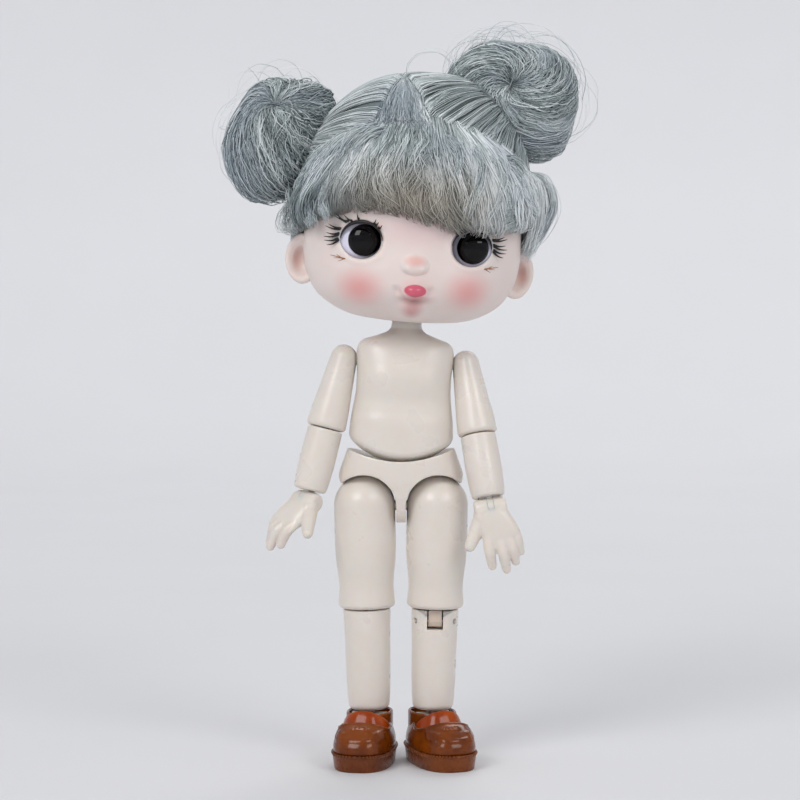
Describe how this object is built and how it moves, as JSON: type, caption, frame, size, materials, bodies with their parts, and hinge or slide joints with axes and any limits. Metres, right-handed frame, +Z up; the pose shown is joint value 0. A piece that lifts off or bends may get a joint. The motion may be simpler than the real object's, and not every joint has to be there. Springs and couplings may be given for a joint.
{
  "type": "ball jointed doll",
  "caption": "Small plastic doll with a big round head, hair in round buns and moulded loafers, posable at neck, waist, shoulders, elbows, wrists, hips, knees and ankles.",
  "frame": {"origin": "centre of the bounding box in x and y, on the floor under the shoe soles", "axes": "+Z up along the doll, -Y the way the doll looks, +X towards its left hand"},
  "size_m": [0.0816, 0.0554, 0.1684],
  "materials": {
    "skin_plastic": "satin",
    "joint_plastic": "satin",
    "hair": "silky fibre",
    "hair_tie": "matt",
    "eye_white": "gloss",
    "eye_black": "high gloss",
    "shoe_vinyl": "gloss",
    "shoe_sole": "gloss",
    "pin_steel": "satin"
  },
  "bodies": {
    "pelvis": {"pelvis_front": "skin_plastic", "pelvis_back": "skin_plastic", "hip_axle": "pin_steel"},
    "hip_joint_r": {"hip_joint_r": "joint_plastic"},
    "thigh_r": {"thigh_r": "skin_plastic"},
    "knee_joint_r": {"knee_joint_r": "joint_plastic"},
    "shin_r": {"knee_pin_r": "pin_steel", "shin_r": "skin_plastic"},
    "ankle_joint_r": {"ankle_joint_r": "joint_plastic"},
    "foot_r": {"foot_r": "skin_plastic", "shoe_sole_r": "shoe_sole", "shoe_upper_r": "shoe_vinyl"},
    "hip_joint_l": {"hip_joint_l": "joint_plastic"},
    "thigh_l": {"thigh_l": "skin_plastic"},
    "knee_joint_l": {"knee_joint_l": "joint_plastic"},
    "shin_l": {"knee_pin_l": "pin_steel", "shin_l": "skin_plastic"},
    "ankle_joint_l": {"ankle_joint_l": "joint_plastic"},
    "foot_l": {"foot_l": "skin_plastic", "shoe_sole_l": "shoe_sole", "shoe_upper_l": "shoe_vinyl"},
    "waist_post": {"waist_post": "joint_plastic"},
    "waist_ball": {"waist_ball": "joint_plastic"},
    "torso": {"torso_back": "skin_plastic", "torso_front": "skin_plastic"},
    "shoulder_joint_r": {"shoulder_joint_r": "joint_plastic"},
    "upper_arm_r": {"upper_arm_r": "skin_plastic"},
    "elbow_joint_r": {"elbow_joint_r": "joint_plastic"},
    "forearm_r": {"elbow_pin_r": "pin_steel", "forearm_r": "skin_plastic"},
    "wrist_joint_r": {"wrist_joint_r": "joint_plastic"},
    "hand_r": {"hand_r": "skin_plastic", "wrist_pin_r": "pin_steel"},
    "shoulder_joint_l": {"shoulder_joint_l": "joint_plastic"},
    "upper_arm_l": {"upper_arm_l": "skin_plastic"},
    "elbow_joint_l": {"elbow_joint_l": "joint_plastic"},
    "forearm_l": {"elbow_pin_l": "pin_steel", "forearm_l": "skin_plastic"},
    "wrist_joint_l": {"wrist_joint_l": "joint_plastic"},
    "hand_l": {"hand_l": "skin_plastic", "wrist_pin_l": "pin_steel"},
    "neck_post": {"neck_post": "joint_plastic"},
    "neck_ball": {"neck_ball": "joint_plastic"},
    "head": {"bun_tie_l": "hair_tie", "bun_tie_r": "hair_tie", "eye_pupil_l": "eye_black", "eye_pupil_r": "eye_black", "eye_white_l": "eye_white", "eye_white_r": "eye_white", "face_shell": "skin_plastic", "hair_bun_l": "hair", "hair_bun_r": "hair", "neck_socket": "joint_plastic", "skull_back": "skin_plastic", "wig_cap": "hair", "wig_fringe": "hair"}
  },
  "joints": [
    {"name": "hip_swing_r", "type": "hinge", "parent": "pelvis", "child": "hip_joint_r", "pos_m": [-0.00872, 0.00112, 0.0599], "axis": [-1, 0, 0], "range_deg": [-15, 90]},
    {"name": "hip_spread_r", "type": "hinge", "parent": "hip_joint_r", "child": "thigh_r", "pos_m": [-0.00872, 0.00112, 0.0599], "axis": [0, -1, 0], "range_deg": [-45, 0]},
    {"name": "knee_turn_r", "type": "hinge", "parent": "thigh_r", "child": "knee_joint_r", "pos_m": [-0.00818, 0.00112, 0.036], "axis": [-0.0227, 0, 0.9997], "range_deg": [-35, 5]},
    {"name": "knee_bend_r", "type": "hinge", "parent": "knee_joint_r", "child": "shin_r", "pos_m": [-0.00812, 0.00392, 0.03311], "axis": [0.9997, 0, 0.0227], "range_deg": [0, 88]},
    {"name": "ankle_turn_r", "type": "hinge", "parent": "shin_r", "child": "ankle_joint_r", "pos_m": [-0.00764, 0.00112, 0.01221], "axis": [-0.0227, 0, 0.9997], "range_deg": [-35, 10]},
    {"name": "ankle_bend_r", "type": "hinge", "parent": "ankle_joint_r", "child": "foot_r", "pos_m": [-0.00755, 0.00112, 0.00821], "axis": [0.9814, -0.1908, 0.0223], "range_deg": [-15, 15]},
    {"name": "hip_swing_l", "type": "hinge", "parent": "pelvis", "child": "hip_joint_l", "pos_m": [0.00828, 0.00112, 0.0599], "axis": [-1, 0, 0], "range_deg": [-15, 90]},
    {"name": "hip_spread_l", "type": "hinge", "parent": "hip_joint_l", "child": "thigh_l", "pos_m": [0.00828, 0.00112, 0.0599], "axis": [0, 1, 0], "range_deg": [-45, 0]},
    {"name": "knee_turn_l", "type": "hinge", "parent": "thigh_l", "child": "knee_joint_l", "pos_m": [0.00773, 0.00112, 0.036], "axis": [0.0227, 0, 0.9997], "range_deg": [-5, 30]},
    {"name": "knee_bend_l", "type": "hinge", "parent": "knee_joint_l", "child": "shin_l", "pos_m": [0.00767, -0.00168, 0.03311], "axis": [-0.9997, 0, 0.0227], "range_deg": [0, 88]},
    {"name": "ankle_turn_l", "type": "hinge", "parent": "shin_l", "child": "ankle_joint_l", "pos_m": [0.00719, 0.00112, 0.01221], "axis": [0.0227, 0, 0.9997], "range_deg": [-10, 30]},
    {"name": "ankle_bend_l", "type": "hinge", "parent": "ankle_joint_l", "child": "foot_l", "pos_m": [0.0071, 0.00112, 0.00821], "axis": [0.9395, 0.342, -0.0213], "range_deg": [-15, 15]},
    {"name": "waist_turn", "type": "hinge", "parent": "pelvis", "child": "waist_post", "pos_m": [-0.00022, 0.00112, 0.076], "axis": [0, 0, 1], "range_deg": [-45, 45]},
    {"name": "waist_bend", "type": "hinge", "parent": "waist_post", "child": "waist_ball", "pos_m": [-0.00022, 0.00112, 0.076], "axis": [1, 0, 0], "range_deg": [-5, 5]},
    {"name": "waist_lean", "type": "hinge", "parent": "waist_ball", "child": "torso", "pos_m": [-0.00022, 0.00112, 0.076], "axis": [0, 1, 0], "range_deg": [-5, 0]},
    {"name": "shoulder_swing_r", "type": "hinge", "parent": "torso", "child": "shoulder_joint_r", "pos_m": [-0.01352, 0.00112, 0.09419], "axis": [-0.9987, 0, 0.0506], "range_deg": [-60, 83]},
    {"name": "arm_raise_r", "type": "hinge", "parent": "shoulder_joint_r", "child": "upper_arm_r", "pos_m": [-0.01352, 0.00112, 0.09419], "axis": [-0.0062, 0.9925, -0.1217], "range_deg": [-2, 76]},
    {"name": "elbow_turn_r", "type": "hinge", "parent": "upper_arm_r", "child": "elbow_joint_r", "pos_m": [-0.01772, -0.00089, 0.07795], "axis": [0.2483, 0.1194, 0.9613], "continuous": true},
    {"name": "elbow_bend_r", "type": "hinge", "parent": "elbow_joint_r", "child": "forearm_r", "pos_m": [-0.01845, 0.00035, 0.07497], "axis": [0.9687, -0.0243, -0.2472], "range_deg": [0, 88]},
    {"name": "wrist_turn_r", "type": "hinge", "parent": "forearm_r", "child": "wrist_joint_r", "pos_m": [-0.02142, -0.00267, 0.06363], "axis": [0.2483, 0.1194, 0.9613], "continuous": true},
    {"name": "wrist_bend_r", "type": "hinge", "parent": "wrist_joint_r", "child": "hand_r", "pos_m": [-0.02204, -0.00297, 0.06122], "axis": [0.724, -0.6822, -0.1023], "range_deg": [-10, 70]},
    {"name": "shoulder_swing_l", "type": "hinge", "parent": "torso", "child": "shoulder_joint_l", "pos_m": [0.01484, 0.00112, 0.09276], "axis": [-0.9987, 0, 0.0506], "range_deg": [-70, 75]},
    {"name": "arm_raise_l", "type": "hinge", "parent": "shoulder_joint_l", "child": "upper_arm_l", "pos_m": [0.01484, 0.00112, 0.09276], "axis": [0.0131, -0.9659, 0.2585], "range_deg": [0, 76]},
    {"name": "elbow_turn_l", "type": "hinge", "parent": "upper_arm_l", "child": "elbow_joint_l", "pos_m": [0.01754, -0.00315, 0.07663], "axis": [-0.1598, 0.2532, 0.9541], "continuous": true},
    {"name": "elbow_bend_l", "type": "hinge", "parent": "elbow_joint_l", "child": "forearm_l", "pos_m": [0.01799, -0.00234, 0.07345], "axis": [0.9871, 0.0538, 0.1511], "range_deg": [0, 88]},
    {"name": "wrist_turn_l", "type": "hinge", "parent": "forearm_l", "child": "wrist_joint_l", "pos_m": [0.01993, -0.00693, 0.06242], "axis": [-0.1598, 0.2532, 0.9541], "continuous": true},
    {"name": "wrist_bend_l", "type": "hinge", "parent": "wrist_joint_l", "child": "hand_l", "pos_m": [0.02033, -0.00756, 0.06003], "axis": [0.9871, 0.0538, 0.1511], "range_deg": [-40, 40]},
    {"name": "neck_turn", "type": "hinge", "parent": "torso", "child": "neck_post", "pos_m": [0.00138, 0.00112, 0.10776], "axis": [0.0506, 0, 0.9987], "range_deg": [-85, 85]},
    {"name": "head_nod", "type": "hinge", "parent": "neck_post", "child": "neck_ball", "pos_m": [0.00138, 0.00112, 0.10776], "axis": [0.9974, 0.0523, -0.0505], "range_deg": [-14, 14]},
    {"name": "head_tilt", "type": "hinge", "parent": "neck_ball", "child": "head", "pos_m": [0.00138, 0.00112, 0.10776], "axis": [-0.0523, 0.9986, 0.0026], "range_deg": [-10, 10]}
  ]
}
